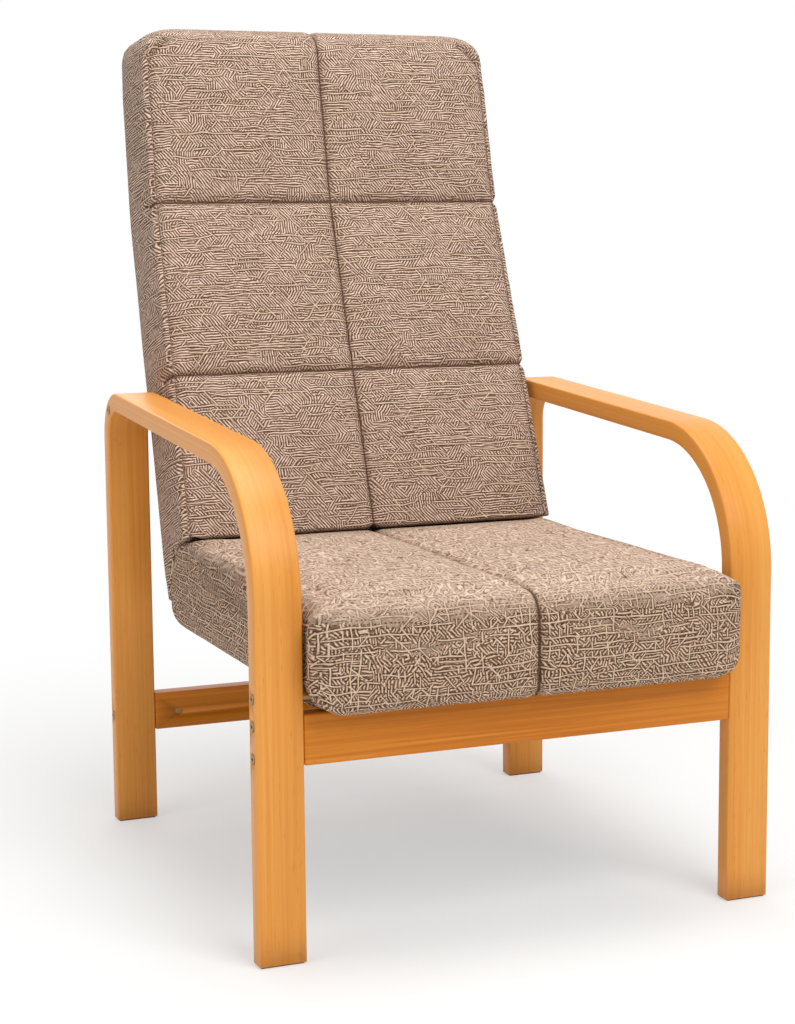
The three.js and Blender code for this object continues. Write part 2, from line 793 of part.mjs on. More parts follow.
// Side boards and cross members
const inserts = [boltPlaces.seat, boltPlaces.back].map(([y, z]) =>
  rodX(insertRadius + fit, boardHalfWidth - insertLength - fit, boardHalfWidth + cutOverrun, y, z),
);
const boardShape = cut(prismX(boardOutline(0), boardInner, boardHalfWidth), inserts);
for (const [name, side] of sides) {
  seat.add(piece(name + "_side_board", mirrored(boardShape.clone(), side), "plywood"));
}
const memberHalf = boardInner - fit;
for (const [name, y] of [["front", -boardFront], ["rear", rearMember]]) {
  const member = box(-memberHalf, y, boardBottom, memberHalf, y + memberThickness, boardTop);
  seat.add(piece("seat_" + name + "_member", member, "plywood"));
}
for (const [name, along] of [["lower", backRailStart], ["upper", boardEnd - backRailHeight]]) {
  const member = backPrism(
    along,
    along + backRailHeight,
    boardRearDepth - memberThickness,
    boardRearDepth,
    memberHalf,
  );
  back.add(piece("back_" + name + "_rail", member, "plywood"));
}

// Springs and webbing
for (let i = 0; i < springCount; i += 1) {
  const spring = piece("seat_spring_" + (i + 1), springShape(), "springSteel");
  spring.position.x = (i - (springCount - 1) / 2) * springSpacing;
  seat.add(spring);
}
bandPlaces.forEach((along, i) => {
  const band = backPrism(along, along + bandWidth, bandDepth, bandDepth + bandThickness, boardHalfWidth);
  back.add(piece("back_webbing_" + (i + 1), band, "webbing"));
});

// Foam, upholstery and covers
seat.add(
  piece(
    "seat_foam",
    box(-boardHalfWidth, -foamFront, foamBottom, boardHalfWidth, rearMember, foamTop),
    "foam",
  ),
  piece("seat_upholstery", seatUpholstery(), "fabric"),
  piece(
    "seat_dust_cover",
    box(
      flangeWidth - dustCoverLap - boardHalfWidth,
      railThickness + flangeWidth - dustCoverLap,
      seatBottom - fit - dustCoverThickness,
      boardHalfWidth + dustCoverLap - flangeWidth,
      rearMember + dustCoverLap,
      seatBottom - fit,
    ),
    "lining",
  ),
);
back.add(
  piece(
    "back_foam",
    backPrism(backRailStart, boardEnd, foamTopCover, bandDepth - fit, boardHalfWidth),
    "foam",
  ),
  piece("back_upholstery", backUpholstery(), "fabric"),
  piece(
    "back_rear_cover",
    backPrism(
      backRailStart,
      boardEnd,
      boardRearDepth + fit,
      boardRearDepth + fit + rearCoverThickness,
      boardHalfWidth,
    ),
    "fabric",
  ),
);

// The chair stands centred over its origin
const bounds = new THREE.Box3().setFromObject(chair, true);
chair.position.y = -(bounds.min.y + bounds.max.y) / 2;
chair.updateMatrixWorld(true);

export default chair;
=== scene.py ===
import math

import bmesh
import bpy
import numpy as np
from mathutils import Matrix, Vector, noise


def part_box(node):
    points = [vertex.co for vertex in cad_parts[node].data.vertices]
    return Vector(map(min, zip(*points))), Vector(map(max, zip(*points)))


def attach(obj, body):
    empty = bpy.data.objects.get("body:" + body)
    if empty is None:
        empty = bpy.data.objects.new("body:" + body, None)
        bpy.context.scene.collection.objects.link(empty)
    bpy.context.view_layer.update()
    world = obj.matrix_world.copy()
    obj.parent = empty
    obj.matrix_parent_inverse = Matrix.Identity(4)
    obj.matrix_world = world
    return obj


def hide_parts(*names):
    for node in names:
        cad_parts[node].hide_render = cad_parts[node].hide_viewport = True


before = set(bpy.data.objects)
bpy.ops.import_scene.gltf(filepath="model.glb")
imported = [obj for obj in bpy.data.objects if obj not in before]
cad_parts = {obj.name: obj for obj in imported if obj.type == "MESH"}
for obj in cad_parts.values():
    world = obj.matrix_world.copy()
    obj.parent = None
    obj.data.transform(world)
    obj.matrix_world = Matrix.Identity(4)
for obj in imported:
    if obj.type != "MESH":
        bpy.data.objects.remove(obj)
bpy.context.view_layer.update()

scene = bpy.context.scene
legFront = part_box("left_arm_frame")[0].y  # depths below are measured back from the front of the legs
print("stage: frame loaded")


def at(depth):
    return legFront + depth


# Camera, light and floor

camera = {
    "place": (-0.98993, at(-2.09151), 0.81234),
    "right": (0.92815, -0.37211, -0.00810),
    "up": (0.05932, 0.12640, 0.99020),
    "lens": 73.558,
}
studio = {
    "key": {"place": (0.5, -2.4, 2.5), "size": 1.8, "power": 52},
    "left": {"place": (-2.7, -1.0, 1.6), "size": 2.0, "power": 20},
    "top": {"place": (0.1, -0.1, 3.1), "size": 1.8, "power": 50},
    "rear": {"place": (0.3, 3.0, 2.4), "size": 2.4, "power": 20},
    "sky": 0.35,
    "aim": (0.0, 0.0, 0.5),
    "floorTint": "#F4F3F1",
    "floorSize": 9.0,
    "floorWhite": 0.42,  # share of the floor that stays plain white to the camera beside the chair
    "floorFade": (0.35, 1.5),  # distances over which the rest turns white too
}


def linear(tint):
    parts = [int(tint[i : i + 2], 16) / 255 for i in (1, 3, 5)]
    return tuple(p / 12.92 if p <= 0.04045 else ((p + 0.055) / 1.055) ** 2.4 for p in parts) + (1.0,)


class Signal:  # a socket whose arithmetic adds Math nodes
    def __init__(self, finish, socket):
        self.finish = finish
        self.socket = socket

    def maths(self, operation, *values):
        return self.finish.node("ShaderNodeMath", {"operation": operation}, dict(enumerate(values)))

    def __add__(self, other):
        return self.maths("ADD", self, other)

    def __radd__(self, other):
        return self.maths("ADD", other, self)

    def __sub__(self, other):
        return self.maths("SUBTRACT", self, other)

    def __rsub__(self, other):
        return self.maths("SUBTRACT", other, self)

    def __mul__(self, other):
        return self.maths("MULTIPLY", self, other)

    def __truediv__(self, other):
        return self.maths("DIVIDE", self, other)

    def __pow__(self, other):
        return self.maths("POWER", self, other)

    def __abs__(self):
        return self.maths("ABSOLUTE", self)


class NodeTree:
    def __init__(self, tree):
        self.tree = tree

    def node(self, kind, settings=None, sockets=None, output=0):
        made = self.tree.nodes.new(kind)
        for name, value in (settings or {}).items():
            if name == "stops":
                ramp = made.color_ramp
                while len(ramp.elements) < len(value):
                    ramp.elements.new(1.0)
                for element, (position, tint) in zip(ramp.elements, value):
                    element.position = position
                    element.color = tint if isinstance(tint, tuple) else (tint, tint, tint, 1.0)
            else:
                setattr(made, name, value)
        self.wire(made, sockets or {})
        return Signal(self, made.outputs[output])

    def wire(self, made, sockets):
        for name, value in sockets.items():
            if isinstance(value, Signal):
                self.tree.links.new(value.socket, made.inputs[name])
            else:
                made.inputs[name].default_value = value

    def shownRays(self):  # the rays that show the white background instead of the lit one
        camera, glossy, transmission = (
            self.node("ShaderNodeLightPath", output=name)
            for name in ("Is Camera Ray", "Is Glossy Ray", "Is Transmission Ray")
        )
        return camera.maths("MAXIMUM", camera, glossy.maths("MAXIMUM", glossy, transmission))


class Finish(NodeTree):  # one material and what its nodes are made with
    def __init__(self, name, **plain):
        self.material = bpy.data.materials.new(name)
        self.material.use_nodes = True
        super().__init__(self.material.node_tree)
        self.surface = self.tree.nodes["Principled BSDF"]
        for socket, value in plain.items():
            self.surface.inputs[socket.replace("_", " ")].default_value = value

    def place(self):
        return self.node("ShaderNodeTexCoord", output="Object")

    def uvMap(self, name):
        return self.node("ShaderNodeUVMap", {"uv_map": name})

    def attribute(self, name, output):
        return self.node("ShaderNodeAttribute", {"attribute_name": name}, None, output)

    def component(self, vector, number):
        return self.node("ShaderNodeSeparateXYZ", None, {0: vector}, number)

    def stretched(self, place, scale):
        return self.node("ShaderNodeMapping", None, {"Vector": place, "Scale": scale})

    def cloud(self, place, scale, detail, roughness=0.5):
        sockets = {"Vector": place, "Scale": scale, "Detail": detail, "Roughness": roughness}
        return self.node("ShaderNodeTexNoise", None, sockets)

    def ramp(self, value, *stops, constant=False):
        tint = self.node("ShaderNodeValToRGB", {"stops": stops}, {0: value})
        if constant:
            tint.socket.node.color_ramp.interpolation = "CONSTANT"
        return tint

    def step(self, value, low, high):
        settings = {"interpolation_type": "SMOOTHSTEP"}
        return self.node("ShaderNodeMapRange", settings, {"Value": value, "From Min": low, "From Max": high})

    def mixed(self, share, first, second):
        return self.node("ShaderNodeMix", {"data_type": "RGBA"}, {0: share, 6: first, 7: second}, 2)

    def bump(self, height, depth, strength):
        return self.node("ShaderNodeBump", None, {"Height": height, "Distance": depth, "Strength": strength})

    def finished(self, **sockets):
        self.wire(self.surface, {name.replace("_", " "): value for name, value in sockets.items()})
        return self.material


def strongest(signals):
    most, *others = signals
    for signal in others:
        most = most.maths("MAXIMUM", most, signal)
    return most


def placeCamera():
    data = bpy.data.cameras.new("camera")
    data.lens = camera["lens"]
    data.sensor_width = 36.0
    data.clip_end = 50.0
    item = bpy.data.objects.new("camera", data)
    right, up = Vector(camera["right"]).normalized(), Vector(camera["up"]).normalized()
    back = right.cross(up)
    turned = Matrix((right, up, back)).transposed().to_4x4()
    item.matrix_world = Matrix.Translation(camera["place"]) @ turned
    scene.collection.objects.link(item)
    scene.camera = item


def placeLights():
    aim = Vector(studio["aim"])
    for name in ("key", "left", "top", "rear"):
        lamp = studio[name]
        data = bpy.data.lights.new(name, "AREA")
        data.energy = lamp["power"]
        data.size = lamp["size"]
        item = bpy.data.objects.new(name, data)
        item.location = lamp["place"]
        item.rotation_euler = (aim - Vector(lamp["place"])).to_track_quat("-Z", "Y").to_euler()
        scene.collection.objects.link(item)
    world = bpy.data.worlds.new("studio")
    scene.world = world
    world.use_nodes = True
    tree = world.node_tree
    background = tree.nodes["Background"]
    background.inputs["Color"].default_value = (1, 1, 1, 1)
    sky = NodeTree(tree)
    strength = studio["sky"] + sky.shownRays() * (1 - studio["sky"])
    tree.links.new(strength.socket, background.inputs["Strength"])


def placeFloor():
    bm = bmesh.new()
    bmesh.ops.create_grid(bm, x_segments=1, y_segments=1, size=studio["floorSize"])
    mesh = bpy.data.meshes.new("floor")
    bm.to_mesh(mesh)
    bm.free()
    item = bpy.data.objects.new("floor", mesh)
    scene.collection.objects.link(item)
    finish = Finish("paperFloor", Roughness=0.9, Specular_IOR_Level=0.1)
    tree = finish.tree
    finish.surface.inputs["Base Color"].default_value = linear(studio["floorTint"])
    glow = tree.nodes.new("ShaderNodeEmission")
    glow.inputs["Color"].default_value = (1, 1, 1, 1)
    place = finish.node("ShaderNodeVectorMath", {"operation": "LENGTH"}, {0: finish.place()}, "Value")
    far = finish.step(place, *studio["floorFade"])
    shown = finish.shownRays() * (studio["floorWhite"] + far * (1 - studio["floorWhite"]))
    blend = tree.nodes.new("ShaderNodeMixShader")
    tree.links.new(shown.socket, blend.inputs["Fac"])
    tree.links.new(finish.surface.outputs["BSDF"], blend.inputs[1])
    tree.links.new(glow.outputs["Emission"], blend.inputs[2])
    tree.links.new(blend.outputs["Shader"], tree.nodes["Material Output"].inputs["Surface"])
    mesh.materials.append(finish.material)


scene.view_settings.view_transform = "Standard"
placeCamera()
placeLights()
placeFloor()
print("stage: camera, lights and floor")


# Finishes

beechTints = {
    "strip": ("#CA7F2D", "#E09641", "#ECAC59"),  # dark, middle and pale grain
    # darker than the strip: partly the solid wood's own tone, partly painted shade for the shadow under the
    # seat
    "rail": ("#AD5F0C", "#CA7615", "#DE8E2E"),
    "fleck": "#A0601F",
    "layer": "#B9712B",
}
beechGrain = {  # scale of each noise along and across the grain
    "shift": (0.3, 150, 1),
    "streaks": (3, 190, 1),
    "fine": (8, 480, 1),
    "flecks": (90, 620, 1),
    "shifted": 0.9,  # how far the streaks are moved along, so that they end at no common line
}
chenilleTints = {
    # painted shade, in the gaps between the yarns and beside each yarn
    "gap": "#402A1C",
    "shade": "#6C4D38",
    "ground": "#E0C4AB",
    # painted light: the back's copy of the seat's cloth, with a lighter ground
    "backGroundPaintedLighter": "#E8CFBE",
    # the worn top's tints, painted lighter as if lit from above
    "wornAndLitShade": "#AD937F",
    "wornAndLit": "#CCB4A4",
    "yarn": "#D9B697",
    "cream": "#EBD2B9",
    # painted shade in the crease of a seam
    "seam": "#4A2E1D",
}


def beech(name, tints, figure, layered=False):
    finish = Finish(name, Coat_Weight=0.07, Coat_Roughness=0.24, Specular_IOR_Level=0.24)
    along = finish.uvMap("grain")
    shift = finish.cloud(finish.stretched(along, beechGrain["shift"]), 1.0, 1.0)
    pushed = {0: shift, 1: (beechGrain["shifted"], 0, 0), 2: along}
    along = finish.node("ShaderNodeVectorMath", {"operation": "MULTIPLY_ADD"}, pushed)
    broad = finish.cloud(finish.stretched(along, figure), 1.0, 2.0)
    streaks = finish.cloud(finish.stretched(along, beechGrain["streaks"]), 1.0, 1.0)
    fine = finish.cloud(finish.stretched(along, beechGrain["fine"]), 1.0, 1.0)
    grain = broad * 0.5 + streaks * 0.34 + fine * 0.16
    dark, middle, pale = (linear(tint) for tint in tints)
    tint = finish.ramp(grain, (0.22, dark), (0.5, middle), (0.78, pale))
    flecks = finish.cloud(finish.stretched(along, beechGrain["flecks"]), 1.0, 0.0)
    marks = finish.step(flecks, 0.68, 0.78)
    tint = finish.mixed(marks * 0.4, tint, linear(beechTints["fleck"]))
    height = streaks * 0.7 + fine * 0.3
    if layered:  # the edges show the glued layers of the strip
        edge = finish.attribute("layers", "Fac")
        glue = abs(edge.maths("FRACT", edge) - 0.5)
        lines = finish.step(glue, 0.44, 0.5) * finish.step(edge, 0.001, 0.002)
        tint = finish.mixed(lines * 0.3, tint, linear(beechTints["layer"]))
    rough = 0.32 + streaks * 0.14 + marks * 0.1
    return finish.finished(Base_Color=tint, Roughness=rough, Normal=finish.bump(height, 0.0001, 0.4))


def chenille(name, weave):
    finish = Finish(name, Sheen_Weight=0.06, Sheen_Roughness=0.5, Specular_IOR_Level=0.1)
    cloth = finish.uvMap("weave")
    across, up = (finish.component(cloth, number) for number in (0, 1))
    # worn, and painted lighter, where the seat's top faces up to the light
    wear = finish.attribute("wear", "Fac")

    def turned(cosine, sine):  # places along and across a heading
        return across * cosine + up * sine, up * cosine - across * sine

    def joined(first, second):
        return finish.node("ShaderNodeCombineXYZ", None, {0: first, 1: second})

    # patches of close parallel strokes
    patches = {"Vector": finish.stretched(cloth, weave["patchPull"]), "Scale": 1 / weave["patch"]}
    patch = finish.node("ShaderNodeTexVoronoi", {"voronoi_dimensions": "2D"}, patches, "Color")
    heading = finish.ramp(finish.component(patch, 0), *weave["headings"], constant=True) * math.pi
    run, side = turned(heading.maths("COSINE", heading), heading.maths("SINE", heading))
    bends = finish.cloud(cloth, weave["bends"], 1.0) - 0.5
    curl = weave["curl"] + wear * weave["wornCurl"]
    phase = side * (2 * math.pi / weave["stroke"]) * (1 - wear * 0.45) + bends * curl
    alongStroke, acrossStroke = weave["breaks"]
    breaks = finish.cloud(joined(run * alongStroke, side * acrossStroke), 1.0, 1.0)
    wave = phase.maths("SINE", phase)
    strokes = finish.step(wave * 0.5 + (breaks - 0.5) * 1.4, -0.25, 0.5)

    def threads(seed, angle, gap, length, share):  # single yarns in rows, each running only here and there
        run, side = turned(math.cos(math.radians(angle)), math.sin(math.radians(angle)))
        swayScale, sway = weave["sway"]
        side = side + finish.cloud(cloth, swayScale + seed, 1.0) * sway
        row = side / gap
        number = row.maths("FLOOR", row)
        rowSeed = {"W": number + seed}
        chance = finish.node("ShaderNodeTexWhiteNoise", {"noise_dimensions": "1D"}, rowSeed, "Value")
        off = abs(row - number - 0.25 - chance * 0.5) * gap
        pieces = finish.cloud(joined(run / length, number * 7.3 + seed), 1.0, 0.0)
        shown = finish.step(pieces, 0.62 - share, 0.66 - share)
        return [(1 - finish.step(off, *weave[edge])) * shown for edge in ("yarn", "yarnShade")]

    families = [threads(seed, *settings) for seed, settings in enumerate(weave["threads"])]
    yarns, shades = (strongest(signals) for signals in zip(*families))

    # rows of small gaps between the yarns, painted dark with the shade in them
    pitch, rowPitch, pull = weave["gap"]
    row = up / rowPitch + finish.cloud(cloth, 40, 0.0) * 0.8
    number = row.maths("FLOOR", row)
    column = across / pitch + number * 0.37 + finish.cloud(cloth, 55, 0.0) * 1.2
    offRow = abs(row - number - 0.5) * rowPitch
    offColumn = abs(column.maths("FRACT", column) - 0.5) * pitch
    off = (offRow * offRow + offColumn * offColumn * pull) ** 0.5
    rows = finish.cloud(finish.stretched(cloth, weave["rows"]), 1.0, 1.0)
    shadedGaps = (1 - finish.step(off, *weave["gapEdge"])) * finish.step(rows, *weave["open"]) * (1 - yarns)

    # the worn top, painted lighter, shows loose curls, a pale yarn beside a line of painted shade
    swirlScale, swirlTurns = weave["swirl"]
    swirl = finish.cloud(cloth, swirlScale, 0.5) * swirlTurns
    turn = swirl.maths("FRACT", swirl)
    curls = (1 - finish.step(abs(turn - 0.5), 0.03, 0.14)) * wear
    rims = (1 - finish.step(abs(turn - 0.2), 0.02, 0.10)) * wear

    fibre = finish.cloud(cloth, 900, 1.0, 0.7)
    dirt = finish.cloud(cloth, 14, 2.0)
    names = ("shade", weave["ground"], "wornAndLitShade", "wornAndLit", "yarn", "cream", "gap", "seam")
    shade, ground, wornAndLitShade, wornAndLit, yarn, cream, gap, seam = (linear(chenilleTints[tint]) for tint in names)
    light = strokes * 0.9 + (fibre - 0.5) * 0.3 + (dirt - 0.5) * 0.2
    # the worn top takes lighter tints: painted top light
    tint = finish.mixed(light, finish.mixed(wear, shade, wornAndLitShade), finish.mixed(wear, ground, wornAndLit))
    # painted shade beside the yarns
    tint = finish.mixed(shades * (0.8 - wear * 0.6), tint, gap)
    tint = finish.mixed(rims * 0.85, tint, shade)
    tint = finish.mixed(curls * 0.7, tint, cream)
    # painted shade in the gaps
    tint = finish.mixed(shadedGaps * (weave["dark"] - wear * 0.35), tint, gap)
    spun = finish.cloud(cloth, 260, 1.0)
    yarnTint = finish.mixed(finish.step(fibre, 0.35, 0.65), yarn, cream)
    tint = finish.mixed(yarns * (0.55 + spun * 0.6 - wear * 0.3), tint, yarnTint)

    seams = finish.attribute("seams", "Vector")
    creaseShades, hollows = [], []
    for number, strength in enumerate(weave["creaseShades"]):
        off = abs(finish.component(seams, number))
        creaseShades.append((1 - finish.step(off, *weave["seamLine"])) * strength)
        hollows.append((1 - finish.step(off, *weave["hollow"])) * (strength * 0.45))
    creaseShade = strongest(creaseShades)
    # painted shade in the hollow beside each seam
    tint = finish.mixed(strongest(hollows), tint, shade)
    # painted shade in each seam's crease
    tint = finish.mixed(creaseShade, tint, seam)
    height = (yarns * 0.5 + strokes * 0.3 + fibre * 0.15 - shadedGaps * 0.4) * (1 - wear * 0.45)
    height = height + curls * 0.2 - rims * 0.2 - creaseShade
    rough = 0.84 + fibre * 0.14
    return finish.finished(Base_Color=tint, Roughness=rough, Normal=finish.bump(height, 0.0012, 0.7))


def plainFinish(name, low, high, scale, stretch=(1, 1, 1), rough=0.6, depth=0.0003, **plain):
    finish = Finish(name, **plain)
    grain = finish.cloud(finish.stretched(finish.place(), stretch), scale, 3.0, 0.6)
    tint = finish.ramp(grain, (0.32, linear(low)), (0.68, linear(high)))
    rough = rough + grain * 0.15
    return finish.finished(Base_Color=tint, Roughness=rough, Normal=finish.bump(grain, depth, 0.6))


beechStrip = beech("beechStrip", beechTints["strip"], (0.9, 24, 1), layered=True)
# the rails' darker tints carry painted shade from under the seat
railBeechAndShade = beech("railBeechAndShade", beechTints["rail"], (3.5, 60, 1))
weave = {
    "ground": "ground",
    "patch": 0.013,  # size of a patch of parallel strokes
    "patchPull": (0.8, 1.2, 1),
    # where each heading's share of the patches begins, and the heading in half turns
    "headings": ((0.0, 0.0), (0.3, 0.28), (0.5, 0.72), (0.78, 0.5)),
    "bends": 62,  # scale of the noise that bends the strokes
    "curl": 14,
    "wornCurl": 8,  # added to the curl where the top is worn and painted lighter
    "breaks": (110, 420),  # scale of the noise that breaks the strokes, along and across them
    "swirl": (62, 5.5),  # scale of the noise behind the loose curls, and how many contours it has
    "stroke": 0.0036,
    "threads": (  # heading in degrees of each family of single yarns, their spacing, length and share
        (0, 0.0090, 0.040, 0.16),
        (90, 0.010, 0.011, 0.10),
        (-48, 0.014, 0.016, 0.08),
        (52, 0.016, 0.014, 0.06),
    ),
    "sway": (26, 0.009),  # scale of the noise that moves the yarns sideways, and how far
    "yarn": (0.0004, 0.0012),  # a yarn ends between these distances from its middle
    "yarnShade": (0.0014, 0.0028),
    "gap": (0.0050, 0.0056, 0.45),  # pitch along a row, pitch of the rows, weight of the distance along a row
    "gapEdge": (0.0004, 0.0013),
    "rows": (26, 60, 1),
    "open": (0.38, 0.46),  # the rows of gaps show where a noise is past these values
    # strength of the painted shade in the gaps
    "dark": 1.0,
    "seamLine": (0.0008, 0.0026),  # a seam's line of painted shade ends between these distances
    # painted shade beside a seam ends between these distances
    "hollow": (0.001, 0.007),
    "creaseShades": (0.85, 0.0, 0.0),  # how dark the painted shade is in the crease of each seam that the attribute "seams" measures
}
seatCloth = chenille("seatChenille", weave)
backWeave = {
    "ground": "backGroundPaintedLighter",
    "patch": 0.018,
    "headings": ((0.0, 0.0), (0.36, 0.72), (0.78, 0.3), (0.92, 0.5)),
    "curl": 8,
    "stroke": 0.0034,
    "threads": ((0, 0.0100, 0.050, 0.15), (-50, 0.020, 0.020, 0.06), (48, 0.026, 0.016, 0.03)),
    "gap": (0.0044, 0.0056, 0.9),
    "rows": (18, 80, 1),
    "open": (0.44, 0.50),
    "dark": 0.95,
    "seamLine": (0.0004, 0.0018),
    "creaseShades": (0.8, 0.8, 0.3),
}
backCloth = chenille("backChenille", {**weave, **backWeave})
nodeFinishes = {
    "bronze": plainFinish("bronzedSteel", "#86683F", "#B3915C", 900, rough=0.34, Metallic=1.0),
    "brass": plainFinish("turnedBrass", "#A88B4F", "#C9AE74", 700, rough=0.3, Metallic=1.0),
    "spring": plainFinish("springWire", "#6A6D72", "#8E9196", 500, rough=0.35, Metallic=1.0),
    "board": plainFinish("birchBoard", "#B8935F", "#D8BA8A", 60, (1, 4, 4), 0.6),
    "band": plainFinish("webbingWeave", "#3B352F", "#5A5249", 900, (1, 1, 3), 0.8, 0.0006),
    "foam": plainFinish("openFoam", "#DCCE9C", "#F0E4BC", 1400, rough=0.85, depth=0.0008),
    "lining": plainFinish("blackLining", "#1F1C1A", "#36322F", 2200, (1, 0.4, 1), 0.85, 0.0005),
    "glide": plainFinish("glidePlastic", "#2B2520", "#443B33", 400, rough=0.5),
    "dowel": plainFinish("dowelBeech", "#C9955A", "#E0B27C", 150, (0.2, 4, 4), 0.6),
}
finishOfNode = {
    "bolt": "bronze",
    "barrel_nut": "bronze",
    "sleeve": "bronze",
    "insert": "brass",
    "spring": "spring",
    "board": "board",
    "member": "board",
    "lower_rail": "board",
    "upper_rail": "board",
    "webbing": "band",
    "foam": "foam",
    "dust_cover": "lining",
    "glide": "glide",
    "dowel": "dowel",
}
for nodeName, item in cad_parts.items():
    for word, finishName in finishOfNode.items():
        if word in nodeName:
            item.material_slots[0].material = nodeFinishes[finishName]
print("stage: finishes")


# Wood

strip = {
    "outer": 0.320,
    "width": 0.055,
    "thickness": 0.024,
    "depth": 0.641,
    "top": 0.5555,  # of the arm, carried forward to the front of the leg
    "rise": math.radians(3.15),
    "frontBend": 0.166,
    "rearBend": 0.062,
    "foot": 0.0023,
    "edge": 0.0028,
    "layer": 0.003,
}
rails = {
    "half": 0.2647,
    "edge": 0.0024,
    "front": {"depth": 0.0, "low": 0.223, "high": 0.280},
    "rear": {"depth": 0.617, "low": 0.1235, "high": 0.174},
}
holes = {
    "boltHead": 0.0063,
    "headDepth": 0.0022,
    "nut": 0.0053,
    "nutBore": 0.044,  # length of the drill, half of it in the rail
    "railBolts": ((0.012, 0.2695), (0.012, 0.2335)),  # depth and height
    "seatBolt": (0.012, 0.300),
    "rearRailBolt": (0.629, 0.1465),
    "backBoltAngle": math.radians(49),  # round the rear bend, from level
    "nutPlace": 0.232,
}


def linked(name, bm, finish):
    bm.normal_update()
    mesh = bpy.data.meshes.new(name)
    bm.to_mesh(mesh)
    bm.free()
    mesh.polygons.foreach_set("use_smooth", [True] * len(mesh.polygons))
    mesh.materials.append(finish)
    item = bpy.data.objects.new(name, mesh)
    scene.collection.objects.link(item)
    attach(item, "root")
    return item


def baked(item):  # the object's own mesh with its modifiers applied
    graph = bpy.context.evaluated_depsgraph_get()
    graph.update()
    shown = item.evaluated_get(graph)
    mesh = bpy.data.meshes.new_from_object(shown, preserve_all_data_layers=True, depsgraph=graph)
    item.modifiers.clear()
    item.data = mesh
    return item


def rounded(bm, corners, offset, segments, affect):
    bmesh.ops.bevel(
        bm, geom=list(corners), offset=offset, segments=segments, profile=0.5, affect=affect, material=-1
    )


def bored(item, drills):
    bm = bmesh.new()
    for direction, centre, radius, depth in drills:
        place = Matrix.Translation(centre) @ Matrix.Rotation(math.pi / 2, 4, "Y" if direction == "x" else "X")
        bmesh.ops.create_cone(
            bm, cap_ends=True, segments=32, radius1=radius, radius2=radius, depth=depth, matrix=place
        )
    mesh = bpy.data.meshes.new("drill")
    bm.to_mesh(mesh)
    bm.free()
    drill = bpy.data.objects.new("drill", mesh)
    scene.collection.objects.link(drill)
    cut = item.modifiers.new("bore", "BOOLEAN")
    cut.operation = "DIFFERENCE"
    cut.solver = "EXACT"
    cut.object = drill
    baked(item)
    bpy.data.objects.remove(drill)
    return item


def stripBends():
    front, rear, rise = strip["frontBend"], strip["rearBend"], strip["rise"]
    lift = lambda depth, drop: strip["top"] + math.tan(rise) * depth - drop / math.cos(rise)
    return (front, lift(front, front)), (strip["depth"] - rear, lift(strip["depth"] - rear, rear))


def armFrame(side):
    (frontY, frontZ), (rearY, rearZ) = stripBends()
    inner = strip["outer"] - strip["width"]
    bm = bmesh.new()
    corners = [
        (inner, 0.0),
        (strip["outer"], 0.0),
        (strip["outer"], strip["thickness"]),
        (inner, strip["thickness"]),
    ]
    foot = bm.faces.new([bm.verts.new((x, at(y), strip["foot"])) for x, y in corners])
    rounded(bm, foot.verts, strip["edge"], 4, "VERTICES")
    section = list(bm.faces)

    def carried(move):
        made = bmesh.ops.extrude_face_region(bm, geom=section)["geom"]
        move([v for v in made if isinstance(v, bmesh.types.BMVert)])
        if len(bm.verts) > 2 * len(section[0].verts):  # a section inside the strip is no face of it
            bmesh.ops.delete(bm, geom=section, context="FACES_ONLY")
        section[:] = [f for f in made if isinstance(f, bmesh.types.BMFace)]

    def straight(length, direction, steps):
        for _ in range(steps):
            carried(lambda verts: bmesh.ops.translate(bm, verts=verts, vec=direction * (length / steps)))

    def bent(y, z, angle, steps):
        centre = Vector((0, at(y), z))
        turn = Matrix.Rotation(-angle / steps, 3, "X")
        for _ in range(steps):
            carried(lambda verts: bmesh.ops.rotate(bm, verts=verts, cent=centre, matrix=turn))

    bendGap = (strip["frontBend"] - strip["rearBend"]) * math.sin(strip["rise"])
    armLength = (rearY - frontY) / math.cos(strip["rise"]) + bendGap
    straight(frontZ - strip["foot"], Vector((0, 0, 1)), 10)
    bent(frontY, frontZ, math.pi / 2 - strip["rise"], 36)
    along = Vector((0, math.cos(strip["rise"]), math.sin(strip["rise"])))
    straight(armLength, along, 10)
    bent(rearY, rearZ, math.pi / 2 + strip["rise"], 26)
    straight(rearZ - strip["foot"], Vector((0, 0, -1)), 12)
    bmesh.ops.remove_doubles(bm, verts=bm.verts, dist=1e-6)
    if side < 0:
        bmesh.ops.scale(bm, vec=(-1, 1, 1), verts=bm.verts)
    bmesh.ops.recalc_face_normals(bm, faces=bm.faces)
    name = ("left" if side < 0 else "right") + "_bent_arm"
    item = linked(name, bm, beechStrip)
    head = holes["headDepth"]
    reach, angle = strip["rearBend"] - strip["thickness"] / 2, holes["backBoltAngle"]
    backBolt = (rearY + reach * math.cos(angle), rearZ + reach * math.sin(angle))
    places = [*holes["railBolts"], holes["seatBolt"], holes["rearRailBolt"], backBolt]
    bored(item, [("x", (side * strip["outer"], at(y), z), holes["boltHead"], 2 * head) for y, z in places])
    grainOfStrip(item.data)
    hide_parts(("left" if side < 0 else "right") + "_arm_frame")


